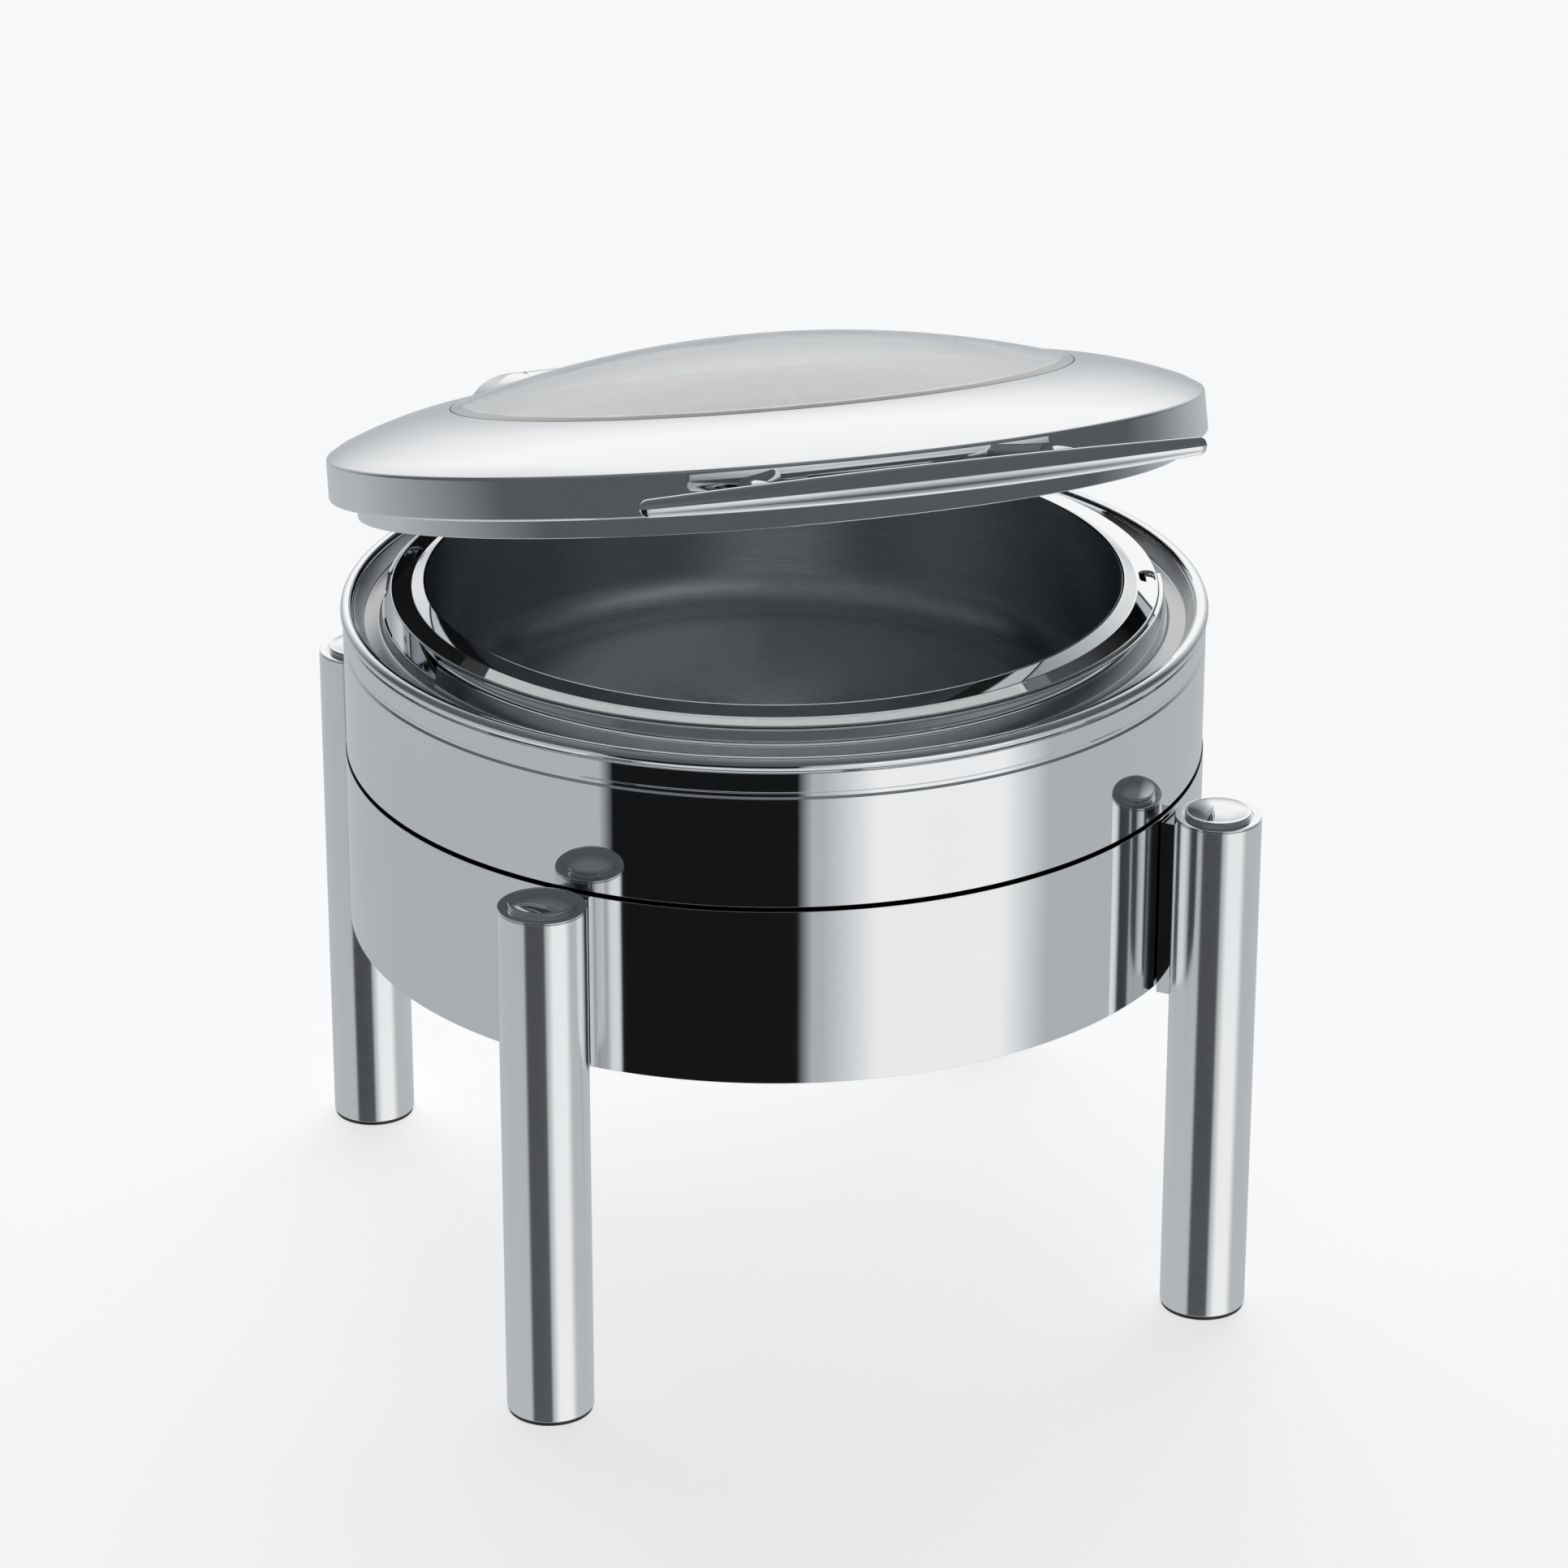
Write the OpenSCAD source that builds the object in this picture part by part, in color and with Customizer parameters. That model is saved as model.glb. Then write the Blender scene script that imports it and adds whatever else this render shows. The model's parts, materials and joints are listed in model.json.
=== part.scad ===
// Round chafing dish food warmer: a body with a water pan and a food pan, under a hinged
// lid with a window, on a stand of four tubular legs with a fuel burner below.
// Lengths are in millimetres. +Z is up, the handle is at -Y and the hinge at +Y.
// The origin is on the floor, on the axis of the round body.

/* [Body] */
// Outer diameter of the rolled rim
rim_d = 430; // [420:1:440]
// Height of the rolled rim above the floor
rim_top = 340; // [335:1:345]
// Height of the casing's polished wall below the rim
casing_h = 67.9; // [60:0.1:72]
// Depth of the water pan, rim to floor
water_depth = 101; // [90:1:110]
// Depth of the food pan, inner edge to floor
food_depth = 80; // [60:1:82]

/* [Stand] */
// Outer diameter of a leg tube
leg_d = 42.4; // [38:0.1:46]
// Height of a leg tube's top above the floor
leg_top = 265.5; // [262:0.5:268]
// Radial gap between the band and a leg
leg_gap = 4.9; // [3:0.1:8]
// Height of the band
band_h = 90.7; // [80:0.1:95]
// Diameter of the button on a leg's cap
button_d = 32.4; // [24:0.1:34]

/* [Lid] */
// Angle at which the lid is drawn open
open_angle = 14.75; // [10:0.25:20]
// Height of the lid's upright edge
lid_wall_h = 21.5; // [18:0.5:24]
// Diameter of the window
window_d = 307.8; // [260:0.2:310]
// Rise of the window from its edge to its middle
window_rise = 22.8; // [16:0.2:26]

/* [Handle] */
// Length of the handle bar
handle_l = 272; // [220:1:280]
// Height of the handle bar at its middle
handle_h = 14; // [12:0.5:16]
// Distance between the handle's two posts
post_pitch = 146; // [120:1:160]

/* [Hidden] */
$fn = 96;
EPS = 0.05;
BIG = 1000;
LEG_ANGLES = [45, 135, 225, 315];
SIDES = [-1, 1];

rim_r = rim_d / 2;
bead_r = 3.6;
sheet = 1;

casing_r = rim_r - 1;
casing_t = 1.2;
casing_top = rim_top - 2 * bead_r - EPS;
casing_z = casing_top - casing_h;
crease_z = rim_top - 20.3;
crease_h = 3.6;
crease_deep = 0.8;

trough_z = rim_top - 10;
ring_top = rim_top + 5.5;
seat_z = ring_top - 0.6;
seat_r = rim_r - 24.7;
notch_from = 75;
notch_angle = 37;
notch_z = rim_top - 4;
water_r = rim_r - 31;
water_z = rim_top - water_depth;
water_corner = 20;

flange_r = rim_r - 25;
flange_z = seat_z + 0.3;
flange_t = 1.4;
collar_foot_r = flange_r - 10.5;
mouth_r = flange_r - 18;
mouth_z = flange_z + 5.8;
food_z = mouth_z - food_depth;
food_corner = 22;
food_floor_r = mouth_r - 27;
grip_hole_angles = [73, -120];
grip_hole_r = flange_r - 5;

band_r = rim_r - 0.4;
band_t = 1.5;
band_top = casing_z - 0.7;
band_z = band_top - band_h;
hem_r = 1.3;

leg_r = leg_d / 2;
leg_t = 1.5;
leg_axis_r = band_r + leg_gap + leg_r;
plug_h = 2;
bracket_w = 20;
bracket_z = band_z - 3;
screw_heights = [band_z + 22, band_z + 70];
leg_screw_r = 3;

holder_r = 45;
holder_z = 118;
cup_r = 44;
cup_z = holder_z + 1.55;
cup_top = 172;
damper_z = cup_top + 0.3;
damper_pivot_y = 52;
tab_z = band_z + 11;
tab_h = 24;
arm_w = 16;

hinge_y = rim_r + 26.2;
hinge_z = rim_top - 2.5;
lid_z = rim_top + 4;
lid_r = rim_r + 1.8;
lid_t = 1.2;
crown_r = lid_r - 3;
crown_z = lid_z + lid_wall_h + 0.9;
window_r = window_d / 2;
window_z = lid_z + 38.9;
dome_bulge = 2.6;
dome_steps = 10;
skirt_r = rim_r - 11.5;
skirt_z = lid_z - 9.9;
retainer_z = window_z - 6.5;
retainer_h = 4.4;
glass_t = 4;
glass_ball_r = (pow(window_r, 2) + pow(window_rise, 2)) / (2 * window_rise);
glass_ball_z = window_z + window_rise - glass_ball_r;
gasket_t = 0.9;

handle_y = lid_r + 35.2;
handle_bow_r = 846;
handle_z = lid_z + 11;
handle_t = 6;
handle_end_h = 8.4;
post_r = 5;
post_bore_r = 2.5;
post_screw_r = 2.45;

pin_r = 2.5;
ear_in = 45;
ear_w = 12;
arm_in = 60;
arm_out = 87;
arm_round_x = 66;
knuckle_r = 21;
knuckle_y = rim_r + 11;
knuckle_z = lid_z + 16;
cover_t = 2.5;
cover_front = knuckle_y - 12;
bush_r = 4.5;
arm_screw_angles = [-21.6, -17.7, 17.7, 21.6];
arm_screw_z = lid_z + 10;
base_plate_z = hinge_z - 49.5;
base_plate_h = 42;
base_plate_t = 5.4;
base_screw_heights = [hinge_z - 41.5, hinge_z - 27.5];
base_screw_angle = 8;
// the outline of an ear of the hinge base, measured from the pin
EAR_OUTLINE = [[-41.2, -47.5], [-41.2, -7], [-22.2, -6], [-4.2, 4.3], [0, 0],
    [5.3, -2.5], [1.8, -9.5], [-19.2, -47.5]];
screw_r = 2;
screw_head_r = 4;
screw_head_h = 2.4;

// ---------- helpers ----------

// Turns children, drawn at the front (-Y), to an angle seen from above, 90 is +X.
module at_angle(a) {
    rotate([0, 0, a]) children();
}

// A cylinder that lies along -Y from radius r0 to radius r1.
module radial_rod(r, r0, r1, z) {
    translate([0, -r0, z]) rotate([90, 0, 0]) cylinder(r = r, h = r1 - r0);
}

// A cylinder that lies along X.
module cross_rod(r, x0, x1, y, z) {
    translate([x0, y, z]) rotate([0, 90, 0]) cylinder(r = r, h = x1 - x0);
}

// Extrudes a shape drawn in (y, z) along X.
module along_x(x0, x1) {
    translate([x0, 0, 0]) rotate([90, 0, 90]) linear_extrude(x1 - x0) children();
}

// Opens the lid's pieces, which are drawn closed, about the hinge.
module opened() {
    translate([0, hinge_y, hinge_z])
        rotate([-open_angle, 0, 0])
            translate([0, -hinge_y, -hinge_z]) children();
}

function arc_points(cx, cy, r, a0, a1, n) =
    [for (i = [0:n]) [cx + r * cos(a0 + (a1 - a0) * i / n), cy + r * sin(a0 + (a1 - a0) * i / n)]];

// ---------- stand ----------

module stand_ring() {
    color("silver")
        difference() {
            rotate_extrude($fn = 180) {
                translate([band_r - band_t, band_z]) square([band_t, band_h - hem_r]);
                translate([band_r - 0.6, band_top - hem_r]) circle(r = hem_r, $fn = 32);
                translate([band_r - band_t - 0.6, band_z]) square([band_t, 2.5]);
            }
            for (a = LEG_ANGLES) {
                for (z = screw_heights) {
                    at_angle(a) radial_rod(leg_screw_r + 0.1, band_r - 10, band_r + 10, z);
                }
            }
            for (a = [0, 90, 180, 270]) {
                at_angle(a) radial_rod(screw_r + 0.1, band_r - 10, band_r - 0.8, tab_z + tab_h / 2);
            }
        }
}

module leg(a) {
    color("gainsboro")
        at_angle(a) difference() {
            translate([0, -leg_axis_r, plug_h]) cylinder(r = leg_r, h = leg_top - plug_h);
            translate([0, -leg_axis_r, 0]) cylinder(r = leg_r - leg_t, h = BIG);
            for (z = screw_heights) {
                radial_rod(leg_screw_r + 0.05, band_r, leg_axis_r, z);
            }
        }
}

module leg_front_left() {
    leg(-45);
}

module leg_front_right() {
    leg(45);
}

module leg_back_left() {
    leg(-135);
}

module leg_back_right() {
    leg(135);
}

module leg_caps() {
    button_r = button_d / 2;
    dome_h = 3.4;
    dome_r = (pow(button_r, 2) + pow(dome_h, 2)) / (2 * dome_h);
    step_top = leg_top + 3;
    color("whitesmoke")
        for (a = LEG_ANGLES) {
            at_angle(a) translate([0, -leg_axis_r, 0]) {
                translate([0, 0, leg_top - 12]) cylinder(r = leg_r - leg_t - EPS, h = 12);
                translate([0, 0, leg_top + EPS]) cylinder(r = leg_r - 0.2, h = 0.8);
                translate([0, 0, leg_top - 1]) cylinder(r = button_r, h = 4);
                intersection() {
                    translate([0, 0, step_top + dome_h - dome_r]) sphere(r = dome_r);
                    translate([0, 0, step_top - 1]) cylinder(r = button_r, h = dome_h + 2);
                }
            }
        }
}

module foot_plugs() {
    color("dimgray")
        for (a = LEG_ANGLES) {
            at_angle(a) translate([0, -leg_axis_r, 0]) {
                cylinder(r = leg_r - 0.6, h = plug_h - EPS);
                difference() {
                    cylinder(r = leg_r - leg_t - EPS, h = 16);
                    translate([0, 0, 4]) cylinder(r = leg_r - leg_t - 3, h = 20);
                }
            }
        }
}

module leg_brackets() {
    color("silver")
        for (a = LEG_ANGLES) {
            at_angle(a) difference() {
                translate([-bracket_w / 2, -leg_axis_r + 8, bracket_z])
                    cube([bracket_w, leg_axis_r - band_r + 2, band_top - bracket_z - 3]);
                translate([0, -leg_axis_r, 0]) cylinder(r = leg_r + EPS, h = BIG);
                cylinder(r = band_r + 0.75, h = BIG, $fn = 180);
                for (z = screw_heights) {
                    radial_rod(leg_screw_r + 0.1, band_r - 10, leg_axis_r, z);
                }
            }
        }
}

module bracket_screws() {
    head_t = 3.3;
    inner_r = band_r - band_t - EPS;
    color("gray")
        for (a = LEG_ANGLES) {
            for (z = screw_heights) {
                at_angle(a) difference() {
                    union() {
                        radial_rod(5.5, inner_r - head_t, inner_r, z);
                        radial_rod(leg_screw_r, inner_r - 1, leg_axis_r - leg_r + 8, z);
                    }
                    translate([0, -inner_r + head_t + 1, z])
                        rotate([90, 0, 0]) cylinder(r = 2, h = 3, $fn = 6);
                }
            }
        }
}

// ---------- burner ----------

module burner_frame() {
    arm_in_z = holder_z + 8;
    wall_r = band_r - band_t - 0.6 - EPS;
    run = wall_r - 3 - holder_r;
    rise = tab_z + 3 - arm_in_z;
    slope = atan2(rise, run);
    reach = norm([rise, run]);
    color("darkgray") {
        rotate_extrude() {
            translate([holder_r, holder_z]) square([2, 14]);
            translate([holder_r - 9, holder_z]) square([10, 1.5]);
        }
        for (a = [0, 90, 180, 270]) {
            at_angle(a) {
                difference() {
                    intersection() {
                        translate([-arm_w / 2, -wall_r - 2, tab_z]) cube([arm_w, 10, tab_h]);
                        difference() {
                            cylinder(r = wall_r, h = BIG, $fn = 180);
                            cylinder(r = wall_r - 2.5, h = BIG, $fn = 180);
                        }
                    }
                    radial_rod(screw_r + 0.1, wall_r - 10, wall_r + 5, tab_z + tab_h / 2);
                }
                translate([-arm_w / 2, -holder_r - 1, arm_in_z])
                    rotate([-slope, 0, 0]) translate([0, -reach, 0]) cube([arm_w, reach, 2.5]);
            }
        }
    }
}

module burner_frame_screws() {
    inner_r = band_r - band_t - 3.1 - 2 * EPS;
    color("gray")
        for (a = [0, 90, 180, 270]) {
            at_angle(a) {
                radial_rod(screw_head_r, inner_r - screw_head_h, inner_r - EPS, tab_z + tab_h / 2);
                radial_rod(screw_r, inner_r - 1, band_r - 0.85, tab_z + tab_h / 2);
            }
        }
}

module burner_cup() {
    color("lightsteelblue")
        difference() {
            union() {
                translate([0, 0, cup_z]) cylinder(r = cup_r, h = cup_top - cup_z);
                translate([0, 0, cup_top - 2]) cylinder(r = cup_r + 2.5, h = 2);
                translate([-6, 0, cup_top - 2]) cube([12, damper_pivot_y, 2]);
                translate([0, damper_pivot_y, cup_top - 2]) cylinder(r = 6, h = 2);
            }
            translate([0, 0, cup_z + 1.2]) cylinder(r = cup_r - 1.2, h = BIG);
            translate([0, damper_pivot_y, cup_z]) cylinder(r = 2, h = BIG);
        }
}

module damper_pin() {
    color("gray")
        translate([0, damper_pivot_y, 0]) {
            translate([0, 0, cup_top - 3.5]) cylinder(r = 3.6, h = 1.5 - EPS);
            translate([0, 0, cup_top - 3]) cylinder(r = 1.98, h = 6);
            translate([0, 0, cup_top + 2.2]) cylinder(r = 4, h = 1.6);
        }
}

module burner_damper() {
    color("gainsboro")
        difference() {
            union() {
                translate([0, 0, damper_z]) cylinder(r = cup_r + 1.5, h = 1.5);
                translate([-7, 0, damper_z]) cube([14, damper_pivot_y, 1.5]);
                translate([0, damper_pivot_y, damper_z]) cylinder(r = 7, h = 1.5);
                translate([-6, -cup_r - 14, damper_z]) cube([12, 20, 1.5]);
                translate([0, -cup_r - 14, damper_z]) cylinder(r = 6, h = 1.5);
            }
            translate([0, damper_pivot_y, 0]) cylinder(r = 2.04, h = BIG);
        }
}

// ---------- body ----------

module casing() {
    color("whitesmoke")
        difference() {
            rotate_extrude($fn = 180) {
                difference() {
                    union() {
                        translate([casing_r - casing_t, casing_z]) square([casing_t, casing_h]);
                        translate([casing_r - 8, casing_z]) square([8, casing_t]);
                        translate([casing_r - casing_t - crease_deep, crease_z - 2])
                            square([casing_t, crease_h + 4]);
                    }
                    translate([casing_r - crease_deep, crease_z]) square([4, crease_h]);
                }
            }
            for (a = SIDES) {
                for (z = base_screw_heights) {
                    at_angle(180 + base_screw_angle * a)
                        radial_rod(screw_r + 0.1, casing_r - 10, casing_r + 2, z);
                }
            }
        }
}

module water_profile() {
    bead_x = rim_r - bead_r;
    bead_y = rim_top - bead_r;
    wall_foot = water_z + water_corner;
    top_line = concat(
        [[bead_x - 3, bead_y], [rim_r - 10.4, trough_z + 0.8], [rim_r - 11.6, trough_z],
         [rim_r - 19.2, trough_z], [rim_r - 20.4, trough_z + 0.8], [rim_r - 22.3, ring_top - 1],
         [rim_r - 23.1, ring_top - 0.1], [rim_r - 24, ring_top], [seat_r, seat_z],
         [water_r + 1, seat_z], [water_r, seat_z - 1]],
        arc_points(water_r - water_corner - 1, wall_foot, water_corner, 0, -90, 8),
        [[0, water_z]]
    );
    under_line = concat(
        [[0, water_z - sheet]],
        arc_points(water_r - water_corner - 1, wall_foot, water_corner + sheet, -90, 0, 8),
        [[water_r + sheet, seat_z - 1.4], [water_r + 1.4, seat_z - sheet],
         [rim_r - 23.8, seat_z - sheet], [rim_r - 23.3, ring_top - 1.6],
         [rim_r - 21.3, trough_z], [rim_r - 19.4, trough_z - sheet],
         [rim_r - 11.2, trough_z - sheet], [rim_r - 9.5, trough_z], [bead_x - 1, bead_y - 1]]
    );
    polygon(concat(top_line, under_line));
    translate([bead_x, bead_y]) circle(r = bead_r, $fn = 48);
}

module water_pan() {
    color("gainsboro")
        difference() {
            rotate_extrude($fn = 180) water_profile();
            for (s = SIDES) {
                rotate([0, 0, -90 + s * (notch_from + notch_angle / 2) - notch_angle / 2])
                    rotate_extrude(angle = notch_angle, $fn = 180)
                        translate([water_r + 1.6, notch_z]) square([10.4, 20]);
            }
        }
}

module food_profile() {
    wall_foot = food_z + food_corner;
    inside = concat(
        [[0, food_z]],
        arc_points(food_floor_r, wall_foot, food_corner, -90, -8, 8),
        [[mouth_r, mouth_z - 0.8], [mouth_r + 0.8, mouth_z], [collar_foot_r, flange_z + flange_t],
         [flange_r - 0.7, flange_z + flange_t], [flange_r, flange_z + 0.7]]
    );
    outside = concat(
        [[flange_r - 0.7, flange_z], [collar_foot_r - 0.4, flange_z],
         [mouth_r + 1.6, mouth_z - 2.2]],
        arc_points(food_floor_r, wall_foot, food_corner + 1.2, -8, -90, 8),
        [[0, food_z - 1.2]]
    );
    polygon(concat(inside, outside));
}

module food_pan() {
    color("lightgray")
        difference() {
            rotate_extrude($fn = 180) food_profile();
            for (a = grip_hole_angles) {
                at_angle(a) for (i = SIDES) {
                    translate([4 * i, -grip_hole_r, flange_z - 5]) cylinder(r = 4, h = 14);
                }
                at_angle(a) translate([-4, -grip_hole_r - 4, flange_z - 5]) cube([8, 8, 14]);
            }
        }
}

// ---------- hinge, body side ----------

module hinge_base() {
    ear = [for (p = EAR_OUTLINE) [hinge_y + p[0], hinge_z + p[1]]];
    color("silver")
        difference() {
            union() {
                intersection() {
                    difference() {
                        cylinder(r = casing_r + 0.1 + base_plate_t, h = BIG, $fn = 180);
                        cylinder(r = casing_r + 0.1, h = BIG, $fn = 180);
                    }
                    translate([-ear_in - ear_w, casing_r / 2, base_plate_z])
                        cube([2 * (ear_in + ear_w), casing_r, base_plate_h]);
                }
                for (s = SIDES) {
                    mirror([s < 0 ? 1 : 0, 0, 0]) {
                        along_x(ear_in, ear_in + ear_w) polygon(ear);
                        cross_rod(6, ear_in, ear_in + ear_w, hinge_y, hinge_z);
                    }
                }
            }
            cylinder(r = casing_r + 0.1, h = BIG, $fn = 180);
            cross_rod(pin_r, -arm_out, arm_out, hinge_y, hinge_z);
            for (s = SIDES) {
                for (z = base_screw_heights) {
                    at_angle(180 + base_screw_angle * s)
                        radial_rod(screw_r + 0.05, casing_r - 10, casing_r + 20, z);
                }
            }
        }
}

module hinge_base_screws() {
    inner_r = casing_r - casing_t - EPS;
    color("gray")
        for (s = SIDES) {
            for (z = base_screw_heights) {
                at_angle(180 + base_screw_angle * s) {
                    radial_rod(screw_head_r, inner_r - screw_head_h, inner_r, z);
                    radial_rod(screw_r, inner_r - 1, casing_r + 5, z);
                }
            }
        }
}

module hinge_pin() {
    color("silver") cross_rod(pin_r, -arm_out + 6, arm_out - 6, hinge_y, hinge_z);
}

// ---------- lid ----------

function dome_point(t, drop) = [
    crown_r + (window_r - crown_r) * t,
    crown_z + (window_z - crown_z) * t + 4 * dome_bulge * t * (1 - t) - drop
];

module lid_profile() {
    outer = concat(
        [[lid_r, lid_z], [lid_r - 0.4, crown_z - 3.4], [lid_r - 0.9, crown_z - 1.7],
         [lid_r - 1.7, crown_z - 0.6]],
        [for (i = [0:dome_steps]) dome_point(i / dome_steps, 0)]
    );
    inner = concat(
        [for (i = [dome_steps:-1:0]) dome_point(i / dome_steps, lid_t)],
        [[lid_r - 1.9, crown_z - 3.6], [lid_r - lid_t, lid_z]]
    );
    polygon(concat(outer, inner));
}

module lid_shell() {
    color("whitesmoke")
        opened() difference() {
            rotate_extrude($fn = 180) lid_profile();
            for (s = SIDES) {
                translate([s * post_pitch / 2, -lid_r + 30, handle_z])
                    rotate([90, 0, 0]) cylinder(r = post_bore_r + 0.1, h = 60);
            }
            for (a = arm_screw_angles) {
                at_angle(180 + a) radial_rod(screw_r + 0.1, lid_r - 8, lid_r + 3, arm_screw_z);
            }
        }
}

module lid_skirt() {
    color("gainsboro")
        opened() rotate_extrude($fn = 180) {
            translate([skirt_r - sheet, skirt_z]) square([sheet, lid_z + 3 - skirt_z]);
            translate([skirt_r - sheet, lid_z + 0.6])
                square([lid_r - lid_t - 0.1 - skirt_r + sheet, sheet]);
        }
}

module glass_ball(drop) {
    translate([0, 0, glass_ball_z]) sphere(r = glass_ball_r - drop, $fn = 180);
}

module lid_glass() {
    color([0.8, 0.85, 0.88, 0.5])
        opened() intersection() {
            difference() {
                glass_ball(0);
                glass_ball(glass_t);
            }
            translate([0, 0, lid_z]) cylinder(r = window_r - gasket_t, h = BIG, $fn = 180);
        }
}

module glass_gasket() {
    color("dimgray")
        opened() rotate_extrude($fn = 180) {
            translate([window_r - gasket_t + EPS, window_z - 5.2]) square([gasket_t - 0.1, 5.2]);
            translate([window_r - 6, window_z - 5.2]) square([6, 1]);
        }
}

module glass_retainer() {
    color("silver")
        opened() rotate_extrude($fn = 180) {
            translate([window_r - 8, retainer_z]) square([14, lid_t]);
            translate([window_r + 4.8, retainer_z]) square([lid_t, retainer_h]);
        }
}

module handle_outline() {
    run = (handle_l - handle_end_h) / 2;
    steps = 8;
    half = [for (i = [-steps:steps])
        [run * i / steps, handle_h / 2 - (handle_h - handle_end_h) / 2 * pow(i / steps, 2)]];
    polygon(concat(half, [for (i = [2 * steps:-1:0]) [half[i][0], -half[i][1]]]));
    for (s = SIDES) {
        translate([s * run, 0]) circle(r = handle_end_h / 2, $fn = 32);
    }
}

module handle_bar() {
    sweep = 2 * asin(handle_l / 2 / handle_bow_r) + 0.5;
    color("whitesmoke")
        opened() difference() {
            intersection() {
                translate([0, handle_bow_r - handle_y, handle_z])
                    rotate([0, 0, -90 - sweep / 2])
                        rotate_extrude(angle = sweep, $fn = 720)
                            translate([handle_bow_r, 0]) intersection() {
                                square([handle_t, handle_h], center = true);
                                translate([-6.5, 0]) circle(r = 9.5, $fn = 64);
                            }
                translate([0, -handle_y + 40, handle_z])
                    rotate([90, 0, 0]) linear_extrude(80) handle_outline();
            }
            for (s = SIDES) {
                translate([s * post_pitch / 2, -handle_y + 20, handle_z])
                    rotate([90, 0, 0]) cylinder(r = post_bore_r, h = 19.5);
            }
        }
}

module handle_posts() {
    color("silver")
        opened() difference() {
            intersection() {
                for (s = SIDES) {
                    translate([s * post_pitch / 2, -lid_r + 30, handle_z])
                        rotate([90, 0, 0]) cylinder(r = post_r, h = 90);
                }
                translate([0, handle_bow_r - handle_y, 0])
                    cylinder(r = handle_bow_r - handle_t / 2 - EPS, h = BIG, $fn = 720);
            }
            cylinder(r = lid_r, h = BIG, $fn = 180);
            for (s = SIDES) {
                translate([s * post_pitch / 2, 0, handle_z])
                    rotate([90, 0, 0]) cylinder(r = post_bore_r, h = BIG);
            }
        }
}

module handle_screws() {
    head_y = sqrt(pow(lid_r - lid_t, 2) - pow(post_pitch / 2 + 4.5, 2)) - 0.6;
    color("gray")
        opened() for (s = SIDES) {
            translate([s * post_pitch / 2, -head_y + 2.6, handle_z])
                rotate([90, 0, 0]) cylinder(r = 4.5, h = 2.5);
            translate([s * post_pitch / 2, -head_y + 1, handle_z])
                rotate([90, 0, 0]) cylinder(r = post_screw_r, h = handle_y - head_y - 3);
        }
}

// ---------- hinge, lid side ----------

module arm_side_view() {
    polygon([
        [knuckle_y - 31, knuckle_z - 13], [knuckle_y + 5, knuckle_z - 26],
        [hinge_y, hinge_z - 7.5], [hinge_y + 7.2, hinge_z - 1.5],
        [hinge_y + 5.4, knuckle_z], [knuckle_y - 31, knuckle_z]
    ]);
    translate([knuckle_y, knuckle_z]) circle(r = knuckle_r);
    translate([hinge_y, hinge_z]) circle(r = 8);
}

module arm_front_view() {
    translate([arm_in, knuckle_z - 40]) square([arm_out - arm_in, 40]);
    intersection() {
        translate([arm_round_x, knuckle_z]) circle(r = knuckle_r);
        translate([arm_in, knuckle_z - 1]) square([arm_out, knuckle_r + 2]);
    }
}

module hinge_arms() {
    color("silver")
        opened() difference() {
            for (s = SIDES) {
                mirror([s < 0 ? 1 : 0, 0, 0]) intersection() {
                    along_x(arm_in, arm_out) arm_side_view();
                    translate([0, hinge_y + 60, 0])
                        rotate([90, 0, 0]) linear_extrude(150) arm_front_view();
                }
            }
            cylinder(r = lid_r + EPS, h = BIG, $fn = 180);
            for (s = SIDES) {
                mirror([s < 0 ? 1 : 0, 0, 0])
                    cross_rod(bush_r, arm_in - 1, arm_out - 5, hinge_y, hinge_z);
            }
            for (a = arm_screw_angles) {
                at_angle(180 + a) radial_rod(screw_r + 0.05, lid_r - 5, lid_r + 15, arm_screw_z);
            }
        }
}

module hinge_bushes() {
    color("peru")
        opened() for (s = SIDES) {
            mirror([s < 0 ? 1 : 0, 0, 0]) difference() {
                cross_rod(bush_r - 0.01, arm_in, arm_out - 5.5, hinge_y, hinge_z);
                cross_rod(pin_r + 0.05, arm_in - 1, arm_out, hinge_y, hinge_z);
            }
        }
}

module hinge_cover() {
    color("whitesmoke")
        opened() difference() {
            along_x(-arm_in + EPS, arm_in - EPS) difference() {
                union() {
                    translate([knuckle_y, knuckle_z]) circle(r = knuckle_r);
                    translate([cover_front, lid_z + 3]) square([5, knuckle_z - lid_z]);
                }
                translate([knuckle_y, knuckle_z]) circle(r = knuckle_r - cover_t);
                translate([cover_front - 20, lid_z - 20]) square([20, 80]);
                translate([cover_front - 20, lid_z - 20]) square([80, 24]);
            }
            cylinder(r = lid_r + EPS, h = BIG, $fn = 180);
        }
}

module hinge_arm_screws() {
    inner_r = lid_r - lid_t - 0.5;
    color("gray")
        opened() for (a = arm_screw_angles) {
            at_angle(180 + a) {
                radial_rod(screw_head_r, inner_r - screw_head_h, inner_r, arm_screw_z);
                radial_rod(screw_r, inner_r - 1, lid_r + 10, arm_screw_z);
            }
        }
}

// ---------- the assembly ----------

stand_ring();
leg_front_left();
leg_front_right();
leg_back_left();
leg_back_right();
leg_caps();
foot_plugs();
leg_brackets();
bracket_screws();
burner_frame();
burner_frame_screws();
burner_cup();
damper_pin();
burner_damper();
casing();
water_pan();
hinge_base();
hinge_base_screws();
hinge_pin();
food_pan();
lid_shell();
lid_skirt();
lid_glass();
glass_gasket();
glass_retainer();
handle_bar();
handle_posts();
handle_screws();
hinge_arms();
hinge_bushes();
hinge_cover();
hinge_arm_screws();
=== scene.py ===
import json
import math

import bmesh
import bpy
from mathutils import Matrix, Vector


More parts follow.
